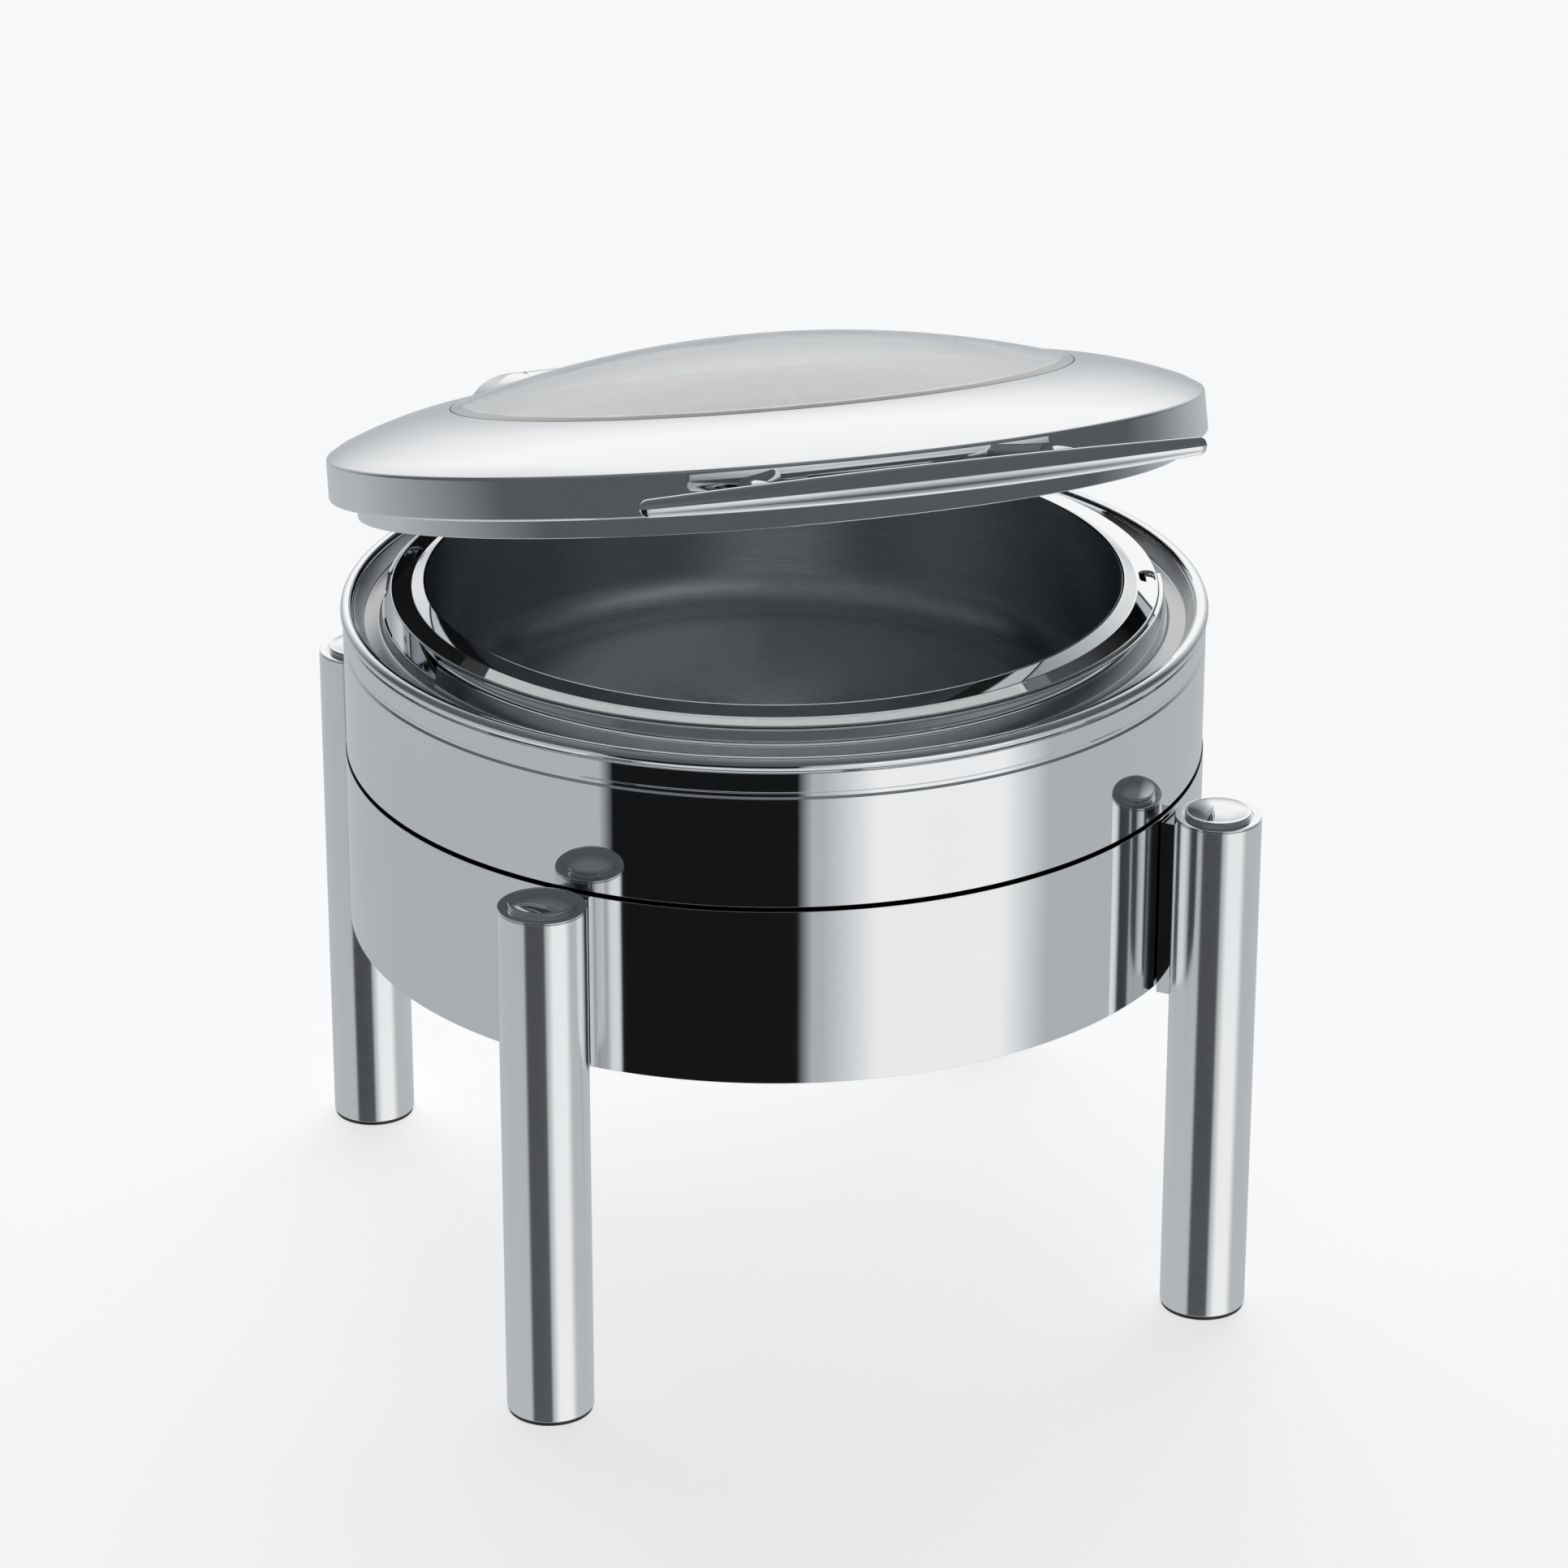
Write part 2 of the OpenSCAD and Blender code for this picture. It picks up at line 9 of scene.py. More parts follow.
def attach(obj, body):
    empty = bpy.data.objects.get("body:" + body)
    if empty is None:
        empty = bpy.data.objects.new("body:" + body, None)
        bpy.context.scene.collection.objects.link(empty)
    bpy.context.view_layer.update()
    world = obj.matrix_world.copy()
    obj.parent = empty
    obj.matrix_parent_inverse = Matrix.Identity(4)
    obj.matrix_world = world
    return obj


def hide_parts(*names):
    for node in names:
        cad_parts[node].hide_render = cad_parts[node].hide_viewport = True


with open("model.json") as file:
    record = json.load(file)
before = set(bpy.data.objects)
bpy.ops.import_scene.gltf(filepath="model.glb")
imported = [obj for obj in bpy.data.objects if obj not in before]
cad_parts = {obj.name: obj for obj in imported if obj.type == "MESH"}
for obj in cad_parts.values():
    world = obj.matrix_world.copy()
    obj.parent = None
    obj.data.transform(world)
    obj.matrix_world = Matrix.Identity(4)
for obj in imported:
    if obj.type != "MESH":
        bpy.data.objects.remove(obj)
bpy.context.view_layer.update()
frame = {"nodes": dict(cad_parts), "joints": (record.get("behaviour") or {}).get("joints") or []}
NODES = frame["nodes"]

# The camera: place in metres, heading, slope down, lens in mm and shift of the frame
CAMERA_AT = (-0.8219, -2.5000, 1.3635)
CAMERA_HEADING = math.radians(-18.2)
CAMERA_DOWN = math.radians(23.78)
LENS = 130.55
SHIFT = (0.0061, 0.0372)

# How far the lid stands open at rest
HINGE_OPEN = math.radians(14.75)

# ------------------------------------------------------------------ nodes


def new_material(name):
    mat = bpy.data.materials.new(name)
    mat.use_nodes = True
    tree = mat.node_tree
    tree.nodes.clear()
    out = tree.nodes.new("ShaderNodeOutputMaterial")
    bsdf = tree.nodes.new("ShaderNodeBsdfPrincipled")
    tree.links.new(bsdf.outputs["BSDF"], out.inputs["Surface"])
    return mat, tree, bsdf


def math_node(tree, operation, a, b=None):
    node = tree.nodes.new("ShaderNodeMath")
    node.operation = operation
    for socket, value in zip(node.inputs, (a, b)):
        if value is None:
            continue
        if isinstance(value, (int, float)):
            socket.default_value = value
        else:
            tree.links.new(value, socket)
    return node.outputs[0]


def combine(tree, x, y, z):
    node = tree.nodes.new("ShaderNodeCombineXYZ")
    for socket, value in zip(node.inputs, (x, y, z)):
        if isinstance(value, (int, float)):
            socket.default_value = value
        else:
            tree.links.new(value, socket)
    return node.outputs[0]


def noise(tree, vector, scale, detail=3.0, roughness=0.5):
    node = tree.nodes.new("ShaderNodeTexNoise")
    node.inputs["Scale"].default_value = scale
    node.inputs["Detail"].default_value = detail
    node.inputs["Roughness"].default_value = roughness
    tree.links.new(vector, node.inputs["Vector"])
    return node.outputs["Fac"]


def remap(tree, value, low, high, start=0.0, end=1.0):
    node = tree.nodes.new("ShaderNodeMapRange")
    node.inputs["From Min"].default_value = start
    node.inputs["From Max"].default_value = end
    node.inputs["To Min"].default_value = low
    node.inputs["To Max"].default_value = high
    tree.links.new(value, node.inputs["Value"])
    return node.outputs["Result"]


def tint(tree, value, dark, light):
    node = tree.nodes.new("ShaderNodeMix")
    node.data_type = "RGBA"
    tree.links.new(value, node.inputs["Factor"])
    node.inputs["A"].default_value = (*dark, 1)
    node.inputs["B"].default_value = (*light, 1)
    return node.outputs["Result"]


def bump(tree, bsdf, height, strength, distance):
    node = tree.nodes.new("ShaderNodeBump")
    node.inputs["Strength"].default_value = strength
    node.inputs["Distance"].default_value = distance
    tree.links.new(height, node.inputs["Height"])
    tree.links.new(node.outputs["Normal"], bsdf.inputs["Normal"])


def object_axes(tree):
    coord = tree.nodes.new("ShaderNodeTexCoord")
    split = tree.nodes.new("ShaderNodeSeparateXYZ")
    tree.links.new(coord.outputs["Object"], split.inputs[0])
    return coord.outputs["Object"], split.outputs[0], split.outputs[1], split.outputs[2]


def polished(name, dark, light, rough_low, rough_high, ripple):
    mat, tree, bsdf = new_material(name)
    where = object_axes(tree)[0]
    smudge = noise(tree, where, 14.0, 4.0, 0.6)
    fine = noise(tree, where, 900.0, 2.0)
    bsdf.inputs["Metallic"].default_value = 1.0
    tree.links.new(tint(tree, smudge, dark, light), bsdf.inputs["Base Color"])
    rough = remap(tree, smudge, rough_low, rough_high, 0.35, 0.7)
    tree.links.new(rough, bsdf.inputs["Roughness"])
    wave = noise(tree, where, 22.0, 1.0)
    height = math_node(tree, "ADD", wave, math_node(tree, "MULTIPLY", fine, 0.004))
    bump(tree, bsdf, height, 1.0, ripple)
    return mat


def brushed(name, vector_of, dark, light, rough_low, rough_high, depth, anisotropic, axis):
    mat, tree, bsdf = new_material(name)
    where, x, y, z = object_axes(tree)
    vector = vector_of(tree, x, y, z)
    grain = noise(tree, vector, 1.0, 4.0, 0.65)
    patch = noise(tree, where, 9.0, 3.0)
    bsdf.inputs["Metallic"].default_value = 1.0
    tree.links.new(tint(tree, grain, dark, light), bsdf.inputs["Base Color"])
    mixed = math_node(tree, "ADD", math_node(tree, "MULTIPLY", grain, 0.7),
                      math_node(tree, "MULTIPLY", patch, 0.3))
    tree.links.new(remap(tree, mixed, rough_low, rough_high, 0.3, 0.7), bsdf.inputs["Roughness"])
    if anisotropic:
        bsdf.inputs["Anisotropic"].default_value = anisotropic
        bsdf.inputs["Anisotropic Rotation"].default_value = 0.25
        tangent = tree.nodes.new("ShaderNodeTangent")
        tangent.direction_type = "RADIAL"
        tangent.axis = axis
        tree.links.new(tangent.outputs[0], bsdf.inputs["Tangent"])
    bump(tree, bsdf, grain, 1.0, depth)
    return mat


def vertical_grain(tree, x, y, z):
    return combine(tree, math_node(tree, "MULTIPLY", x, 2600.0),
                   math_node(tree, "MULTIPLY", y, 2600.0),
                   math_node(tree, "MULTIPLY", z, 16.0))


def ground_grain(tree, x, y, z):
    return combine(tree, math_node(tree, "MULTIPLY", x, 90.0),
                   math_node(tree, "MULTIPLY", y, 90.0),
                   math_node(tree, "MULTIPLY", z, 1500.0))


def ring_grain(tree, x, y, z):
    square = math_node(tree, "ADD", math_node(tree, "MULTIPLY", x, x),
                       math_node(tree, "MULTIPLY", y, y))
    radius = math_node(tree, "SQRT", square)
    angle = math_node(tree, "ARCTAN2", y, x)
    return combine(tree, math_node(tree, "MULTIPLY", radius, 2400.0),
                   math_node(tree, "MULTIPLY", angle, 3.0),
                   math_node(tree, "MULTIPLY", z, 2400.0))


def glass(name):
    mat, tree, bsdf = new_material(name)
    where = object_axes(tree)[0]
    film = noise(tree, where, 7.0, 4.0, 0.6)
    bsdf.inputs["Transmission Weight"].default_value = 1.0
    bsdf.inputs["IOR"].default_value = 1.65
    bsdf.inputs["Coat Weight"].default_value = 1.0
    bsdf.inputs["Coat IOR"].default_value = 1.9
    bsdf.inputs["Coat Roughness"].default_value = 0.02
    tree.links.new(tint(tree, film, (0.72, 0.735, 0.735), (0.78, 0.79, 0.79)),
                   bsdf.inputs["Base Color"])
    tree.links.new(remap(tree, film, 0.0, 0.03, 0.4, 0.7), bsdf.inputs["Roughness"])
    bump(tree, bsdf, noise(tree, where, 16.0, 1.0), 1.0, 0.0002)
    return mat


def moulded(name, dark, light, rough_low, rough_high):
    mat, tree, bsdf = new_material(name)
    where = object_axes(tree)[0]
    grain = noise(tree, where, 700.0, 4.0, 0.6)
    tree.links.new(tint(tree, grain, dark, light), bsdf.inputs["Base Color"])
    tree.links.new(remap(tree, grain, rough_low, rough_high, 0.3, 0.7), bsdf.inputs["Roughness"])
    bump(tree, bsdf, grain, 1.0, 0.0001)
    return mat


MIRROR = polished("steel_mirror", (0.74, 0.755, 0.77), (0.80, 0.81, 0.82), 0.01, 0.035, 0.00005)
BAND = polished("steel_band", (0.73, 0.745, 0.76), (0.79, 0.80, 0.81), 0.04, 0.07, 0.00006)
LEG = brushed("steel_leg", ground_grain, (0.87, 0.88, 0.89), (0.94, 0.945, 0.95),
              0.21, 0.25, 0.0, 0.9, "Z")
# the trough's ring-brushed grain is real; its darker colour is painted shade in the recess below
# the raised ring
TROUGH_SHADE = brushed("steel_trough_painted_shade", ring_grain, (0.40, 0.415, 0.43), (0.48, 0.49, 0.50),
                 0.2, 0.26, 0.000001, 0.9, "Z")
# the lid's inside: its ring-brushed grain is real; its darker colour is painted shade under the lid
LINING_SHADE = brushed("steel_lining_painted_shade", ring_grain, (0.30, 0.31, 0.32), (0.42, 0.43, 0.44),
                 0.25, 0.38, 0.00001, 0.6, "Z")
# painted shade: near-black steel put on the faces inside the seam between the band and the casing,
# where there is only shade
SHADOW = brushed("steel_seam_painted_shade", ring_grain, (0.02, 0.02, 0.022), (0.04, 0.04, 0.042),
                 0.4, 0.5, 0.000001, 0.0, "Z")
PAN = brushed("steel_pan", ring_grain, (0.66, 0.685, 0.705), (0.73, 0.75, 0.77),
              0.26, 0.3, 0.0000015, 0.9, "Z")
SATIN = brushed("steel_satin", vertical_grain, (0.55, 0.56, 0.57), (0.68, 0.68, 0.69),
                0.28, 0.4, 0.00001, 0.0, "Z")
DOME = polished("steel_dome", (0.76, 0.77, 0.78), (0.80, 0.81, 0.82), 0.09, 0.14, 0.00006)
GLASS = glass("window_glass")
BLACK = moulded("plastic_black", (0.012, 0.012, 0.013), (0.03, 0.03, 0.032), 0.4, 0.6)
SEAL = moulded("silicone_grey", (0.16, 0.16, 0.165), (0.22, 0.22, 0.225), 0.5, 0.65)
BRONZE = polished("bronze", (0.42, 0.25, 0.1), (0.52, 0.33, 0.15), 0.25, 0.4, 0.00005)

FINISH = {
    "stand_ring": BAND,
    "leg_front_left": LEG,
    "leg_front_right": LEG,
    "leg_back_left": LEG,
    "leg_back_right": LEG,
    "leg_caps": MIRROR,
    "foot_plugs": BLACK,
    "leg_brackets": BAND,
    "casing": MIRROR,
    "water_pan": MIRROR,
    "food_pan": PAN,
    "lid_shell": MIRROR,
    "lid_skirt": MIRROR,
    "lid_glass": GLASS,
    "glass_gasket": SEAL,
    "handle_bar": MIRROR,
    "handle_posts": MIRROR,
    "hinge_bushes": BRONZE,
    "hinge_arms": MIRROR,
    "hinge_cover": MIRROR,
}

for node_name, node_object in NODES.items():
    finish = FINISH.get(node_name, SATIN)
    for material_slot in node_object.material_slots:
        material_slot.material = finish


# ------------------------------------------------------------------ shapes

MM = 0.001
HINGE = next(joint for joint in frame["joints"] if joint["name"] == "lid_hinge")
HINGE_AT = Vector(HINGE["pos_m"])
LEG_ANGLES = (-45, 45, 135, -135)
LEG_CIRCLE = 240.7
SEGMENTS = 300
GRIP_HOLE_ANGLES = (73, -120)
GRIP_HOLE_CIRCLE = 185.0
GRIP_HOLE_END = 4


def opened(point):
    """Where a point of the closed lid, in metres, is when the lid stands open as at rest."""
    turn = Matrix.Rotation(-HINGE_OPEN, 3, "X")
    return turn @ (point - HINGE_AT) + HINGE_AT


def opened_direction(direction):
    return Matrix.Rotation(-HINGE_OPEN, 3, "X") @ direction


def around(degrees, radius, height=0.0):
    """0 degrees is the front (-Y), 90 is +X."""
    turn = math.radians(degrees)
    return Vector((radius * math.sin(turn), -radius * math.cos(turn), height))


def outline(corners, steps=6):
    """A closed outline, counter-clockwise in (r, z) mm. Each corner is (r, z, fillet radius);
    a fillet of None marks a point of a smooth curve. Gives the points and their normals."""
    points = []
    count = len(corners)
    for i, (r, z, fillet) in enumerate(corners):
        here = Vector((r, z))
        came = (here - Vector(corners[i - 1][:2])).normalized()
        goes = (Vector(corners[(i + 1) % count][:2]) - here).normalized()
        first = Vector((came.y, -came.x))
        last = Vector((goes.y, -goes.x))
        if not fillet:
            points.append((here, (first + last).normalized()))
            continue
        turn = math.atan2(came.x * goes.y - came.y * goes.x, came.dot(goes))
        side = 1 if turn > 0 else -1
        reach = fillet * math.tan(abs(turn) / 2)
        centre = here - came * reach - side * first * fillet
        for k in range(steps + 1):
            angle = turn * k / steps
            normal = Vector((first.x * math.cos(angle) - first.y * math.sin(angle),
                             first.x * math.sin(angle) + first.y * math.cos(angle)))
            points.append((centre + side * fillet * normal, normal))
    return points


class Build:
    """Collects vertices, normals and faces in metres; equal points with one normal are shared."""

    def __init__(self, on_lid=False):
        self.verts, self.normals, self.faces, self.finishes = [], [], [], []
        self.on_lid = on_lid
        self.known = {}

    def vertex(self, place, normal):
        place = Vector(place) * MM
        normal = Vector(normal).normalized()
        if self.on_lid:
            place, normal = opened(place), opened_direction(normal)
        key = tuple(round(value * 1e6) for value in place)
        for index in self.known.get(key, []):
            if self.normals[index].dot(normal) > 0.97:
                return index
        self.known.setdefault(key, []).append(len(self.verts))
        self.verts.append(place)
        self.normals.append(normal)
        return len(self.verts) - 1

    def face(self, corners, finish=0):
        ring = [c for i, c in enumerate(corners) if c != corners[i - 1]]
        if len(ring) > 2:
            self.faces.append(ring)
            self.finishes.append(finish)

    def turn(self, points, centre=(0, 0, 0), segments=SEGMENTS, start=0.0, sweep=360.0, finish=None,
             skip=None):
        """Revolves an outline. A part turn gets flat ends."""
        whole = sweep >= 360
        count = segments if whole else max(2, round(segments * sweep / 360))
        centre = Vector(centre)
        columns = []
        for k in range(count if whole else count + 1):
            angle = math.radians(start + sweep * k / count)
            cos, sin = math.cos(angle), math.sin(angle)
            column = []
            for point, normal in points:
                facing = Vector((normal.x * cos, normal.x * sin, normal.y))
                if point.x < 1e-4:
                    facing = Vector((0, 0, 1 if normal.y > 0 else -1))
                place = Vector((point.x * cos, point.x * sin, point.y)) + centre
                column.append(self.vertex(place, facing))
            columns.append(column)
        size = len(points)
        for j in range(size):
            n = (j + 1) % size
            (first, out), (last, out_next) = points[j], points[n]
            if skip and skip(first, last):
                continue
            chosen = finish((first + last) / 2, out + out_next) if finish else 0
            for k in range(count):
                a, b = columns[k], columns[(k + 1) % len(columns)]
                self.face((a[j], b[j], b[n], a[n]), chosen)
        if whole:
            return
        for angle, side in ((start, -1), (start + sweep, 1)):
            cos, sin = math.cos(math.radians(angle)), math.sin(math.radians(angle))
            facing = Vector((-sin, cos, 0)) * side
            ends = [self.vertex(Vector((p.x * cos, p.x * sin, p.y)) + centre, facing)
                    for p, _ in points]
            self.face(ends if side < 0 else ends[::-1])

    def finished(self, name, materials, body, nodes):
        mesh = bpy.data.meshes.new(name)
        mesh.from_pydata(self.verts, [], self.faces)
        mesh.update()
        for polygon, finish in zip(mesh.polygons, self.finishes):
            polygon.use_smooth = True
            polygon.material_index = finish
        mesh.normals_split_custom_set_from_vertices(self.normals)
        for material in materials:
            mesh.materials.append(material)
        piece = bpy.data.objects.new(name, mesh)
        bpy.context.scene.collection.objects.link(piece)
        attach(piece, body)
        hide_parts(*nodes)
        return piece


def arc(r, z, radius, first, last, steps):
    """Points of a smooth arc round (r, z), from the first angle to the last, in degrees."""
    return [(r + radius * math.cos(math.radians(first + (last - first) * k / steps)),
             z + radius * math.sin(math.radians(first + (last - first) * k / steps)), None)
            for k in range(steps + 1)]


def band():
    """The band of the stand, with a lip inside its top edge that closes the seam, its faces painted
    near black as shade.
    """
    r, t, low, high = 214.6, 1.5, 173.45, 262.7
    lip_r, lip_low, lip_high = r - 9, 260.5, 261.5
    corners = [
        (r, low, 0.35), (r, high, 0.15), (r - t, high, 0.1), (r - t, lip_high, 0.1),
        (lip_r, lip_high, 0.1), (lip_r, lip_low, 0.1), (r - t, lip_low, 0.1),
        (r - t, low + 3, 0.3), (r - t - 0.6, low + 2.5, 0.3), (r - t - 0.6, low, 0.35),
    ]

    # the band's top inner face and its lip take the near-black painted seam shade
    def finish(middle, normal):
        return 1 if middle.x < r - 0.3 and middle.y > 261 else 0

    build = Build()
    build.turn(outline(corners), finish=finish)
    build.finished("band", [BAND, SHADOW], "stand", ["stand_ring"])


def casing():
    """The upper wall with its groove, and a step at its foot behind the band's edge, painted near
    black as shade in the seam.
    """
    r, t, low, high = 214.0, 1.2, 264.85, 332.75
    groove_low, groove_high, deep = 319.7, 323.3, 0.8
    step_r, step_low = r - 3.2, 261.8
    corners = [
        (r - 8, step_low, 0.1), (step_r, step_low, 0.1), (step_r, low, 0.1), (r, low, 0.2),
        (r, groove_low, 0.5), (r - deep, groove_low + 0.9, 0.5),
        (r - deep, groove_high - 0.9, 0.5), (r, groove_high, 0.5), (r, high, 0.3),
        (r - t, high, 0.3), (r - t, groove_high + 1.5, 0.4), (r - t - deep, groove_high + 0.6, 0.4),
        (r - t - deep, groove_low - 0.6, 0.4), (r - t, groove_low - 1.5, 0.4),
        (r - t, low + t, 0.4), (r - 8, low + t, 0.3),
    ]

    # the step at the casing's foot takes the near-black painted seam shade
    def finish(middle, normal):
        return 1 if middle.x < r - 0.3 and middle.y < low + 0.2 else 0

    build = Build()
    build.turn(outline(corners), finish=finish)
    build.finished("casing_wall", [MIRROR, SHADOW], "chafer", ["casing"])


def water_pan():
    """The rolled rim, the trough and the raised ring, which is cut away on both sides."""
    bead = arc(211.4, 336.4, 3.6, -140, 175, 40)
    trough = [(204.0, 330.0, 1.6), (195.2, 330.0, 1.6)]
    bottom = [(0, 238, None)] + arc(163, 259, 21, -90, 0, 10)
    floor = arc(163, 259, 20, 0, -90, 10) + [(0, 239, None)]
    ring = [(192.6, 345.5, 1.1), (190.4, 345.5, 0.5), (189.9, 344.9, 0.5), (184.0, 344.9, 0.8)]
    under = [(185.0, 343.9, 0.3), (191.3, 343.9, 0.6), (194.0, 329.0, 1.8), (205.2, 329.0, 1.8)]
    cut_high = 336.0
    whole = outline(bottom + under + bead + trough + ring + floor)
    outer = outline([(192.7, cut_high, 0.2), (194.0, 329.0, 1.8), (205.2, 329.0, 1.8)] + bead
                    + trough + [(194.2, cut_high, 0.3)])
    inner = outline(bottom + [(185.0, 343.9, 0.3), (185.6, 343.9, 0.1), (185.6, 344.9, 0.2),
                              (184.0, 344.9, 0.8)] + floor)

    # the trough's faces take the steel with painted shade
    def finish(middle, normal):
        return 1 if 193.6 < middle.x < 206.5 and 329.6 < middle.y < 334 else 0

    build = Build()
    for start, sweep in ((22, 136), (195, 150)):
        build.turn(whole, start=start, sweep=sweep, finish=finish)
    for start in (-15, 158):
        build.turn(outer, start=start, sweep=37, finish=finish)
        build.turn(inner, start=start, sweep=37)
    build.finished("water_rim", [MIRROR, TROUGH_SHADE], "chafer", ["water_pan"])


def food_pan():
    """The satin pan with its polished mouth and the flange that the grip holes go through."""
    low, high = 345.2, 346.6
    corners = [(0, 269.8, None)] + arc(145, 293, 23.2, -90, -8, 14)
    corners += [(173.6, 348.8, 1.0), (179.1, low, 1.0), (190, low, 0.6), (190, high, 0.6),
                (179.5, high, 1.4), (172.05, 351.4, 1.3)]
    corners += arc(145, 293, 22, -8, -90, 16) + [(0, 271, None)]
    points = outline(corners)

    def flat(first, last):
        level = abs(first.y - last.y) < 1e-5 and first.y > 340
        return level and abs(first.x - last.x) > 5

    def finish(middle, normal):
        return 1 if middle.x < 172.4 and middle.y < 350.4 else 0

    build = Build()
    build.turn(points, skip=flat, finish=finish)
    for (first, _), (last, _) in zip(points, points[1:]):
        if flat(first, last):
            pierced_ring(build, sorted((first.x, last.x)), first.y, 1 if first.y > 346 else -1)
    for outline_of_hole in grip_holes():
        count = len(outline_of_hole)
        for k in range(count):
            a, b = outline_of_hole[k], outline_of_hole[(k + 1) % count]
            out = Vector((b.y - a.y, a.x - b.x, 0))
            wall = [build.vertex((v.x, v.y, z), -out)
                    for v, z in ((a, low), (b, low), (b, high), (a, high))]
            build.face(wall[::-1])
    build.finished("food_tray", [MIRROR, PAN], "food_pan", ["food_pan"])


def grip_holes():
    """The two long holes in the flange, each a slot with round ends."""
    holes = []
    for degrees in GRIP_HOLE_ANGLES:
        middle = around(degrees, GRIP_HOLE_CIRCLE)
        along = Vector((math.cos(math.radians(degrees)), math.sin(math.radians(degrees)), 0))
        across = Vector((-along.y, along.x, 0))
        slot = []
        for side in (1, -1):
            for k in range(13):
                turn = math.radians(-90 + 15 * k)
                reach = GRIP_HOLE_END * (1 + math.cos(turn))
                slot.append(middle + side * (along * reach
                                             + across * GRIP_HOLE_END * math.sin(turn)))
        holes.append(slot)
    return holes


def pierced_ring(build, radii, z, side):
    """A flat ring with the grip holes in it, its edges on the turned pan's own points."""
    bm = bmesh.new()
    loops = []
    for radius in radii:
        turns = [2 * math.pi * k / SEGMENTS for k in range(SEGMENTS)]
        loops.append([Vector((radius * math.cos(turn), radius * math.sin(turn), 0))
                      for turn in turns])
    loops += grip_holes()
    edges = []
    for loop in loops:
        made = [bm.verts.new((v.x, v.y, 0)) for v in loop]
        edges += [bm.edges.new((made[i - 1], made[i])) for i in range(len(made))]
    bmesh.ops.triangle_fill(bm, use_beauty=True, edges=edges, normal=(0, 0, 1))
    for face in bm.faces:
        corners = [build.vertex((v.co.x, v.co.y, z), (0, 0, side)) for v in face.verts]
        if face.normal.z * side < 0:
            corners.reverse()
        build.face(corners)
    bm.free()


def lid_shell():
    """The upright edge and the dome of the lid, with its inside painted darker as shade."""
    r, t, low = 216.8, 1.2, 344.0
    wall_top, crown_r, crown_z = 363.0, 213.8, 366.4
    window_r, window_z, bulge = 153.9, 382.9, 2.6
    steps = 14

    def dome(k, drop):
        share = k / steps
        return (crown_r + (window_r - crown_r) * share,
                crown_z + (window_z - crown_z) * share + 4 * bulge * share * (1 - share) - drop,
                None)

    corners = [(r - 0.5, low, 0.35), (r, low + 1, 0.5), (r - 0.35, wall_top + 1.2, 2.2)]
    corners += [dome(k, 0) for k in range(1, steps)]
    corners += [(window_r, window_z, 0.3), (window_r, window_z - t, 0.3)]
    corners += [dome(k, t) for k in range(steps - 1, 0, -1)]
    corners += [(r - 0.35 - t, wall_top - 0.2, 1.2), (r - t, low + 1, 0.4), (r - t, low, 0.3)]

    # the inward faces take the painted shade of the lid's inside
    def finish(middle, normal):
        if normal.y < 0 and middle.x < r - 0.7 or normal.x < 0:
            return 2
        return 1 if middle.x < crown_r else 0

    build = Build(on_lid=True)
    build.turn(outline(corners), finish=finish)
    build.finished("lid_dome", [MIRROR, DOME, LINING_SHADE], "lid", ["lid_shell"])


def lid_skirt():
    """The ring that hangs below the lid's edge."""
    r, t, low = 203.5, 1.0, 334.1
    corners = [
        (r - t, low, 0.4), (r, low, 0.4), (r, 344.6, 0.4), (215.4, 344.6, 0.2),
        (215.4, 345.6, 0.2), (r, 345.6, 0.3), (r, 347, 0.3), (r - t, 347, 0.3),
    ]
    build = Build(on_lid=True)
    # the skirt's inward faces take the painted shade of the lid's inside
    build.turn(outline(corners), finish=lambda middle, normal: 1 if normal.x < 0 else 0)
    build.finished("lid_ring", [MIRROR, LINING_SHADE], "lid", ["lid_skirt"])


def window():
    """The domed glass, a slice of a ball with an even thickness."""
    r, rise, edge_z, t = 153.8, 22.8, 382.9, 4.0
    ball = (153.9 ** 2 + rise ** 2) / (2 * rise)
    centre = edge_z + rise - ball
    steps = 24

    def curve(k, drop, reach):
        x = reach * k / steps
        return (x, centre + math.sqrt((ball - drop) ** 2 - x * x), None)

    top = [curve(k, 0, r - 0.8) for k in range(steps, -1, -1)]
    under = [curve(k, t, r - 0.8) for k in range(0, steps + 1)]
    edge_top = centre + math.sqrt(ball ** 2 - r * r)
    edge_low = centre + math.sqrt((ball - t) ** 2 - r * r)
    corners = [(r, edge_low + 0.3, 0.5), (r, edge_top - 0.3, 0.5)] + top + under
    build = Build(on_lid=True)
    build.turn(outline(corners), segments=192)
    build.finished("lid_window", [GLASS], "lid", ["lid_glass"])


def legs():
    """The four tubes, open where their caps and foot plugs go in."""
    names = {-45: "leg_front_left", 45: "leg_front_right", 135: "leg_back_right",
             -135: "leg_back_left"}
    r, t, low, high = 21.2, 1.5, 2.0, 265.5
    points = outline([(r - t, low, 0.2), (r, low, 0.35), (r, high, 0.35), (r - t, high, 0.2)])
    for angle, node in names.items():
        build = Build()
        build.turn(points, centre=around(angle, LEG_CIRCLE), segments=96)
        build.finished("tube_" + node, [LEG], "stand", [node])


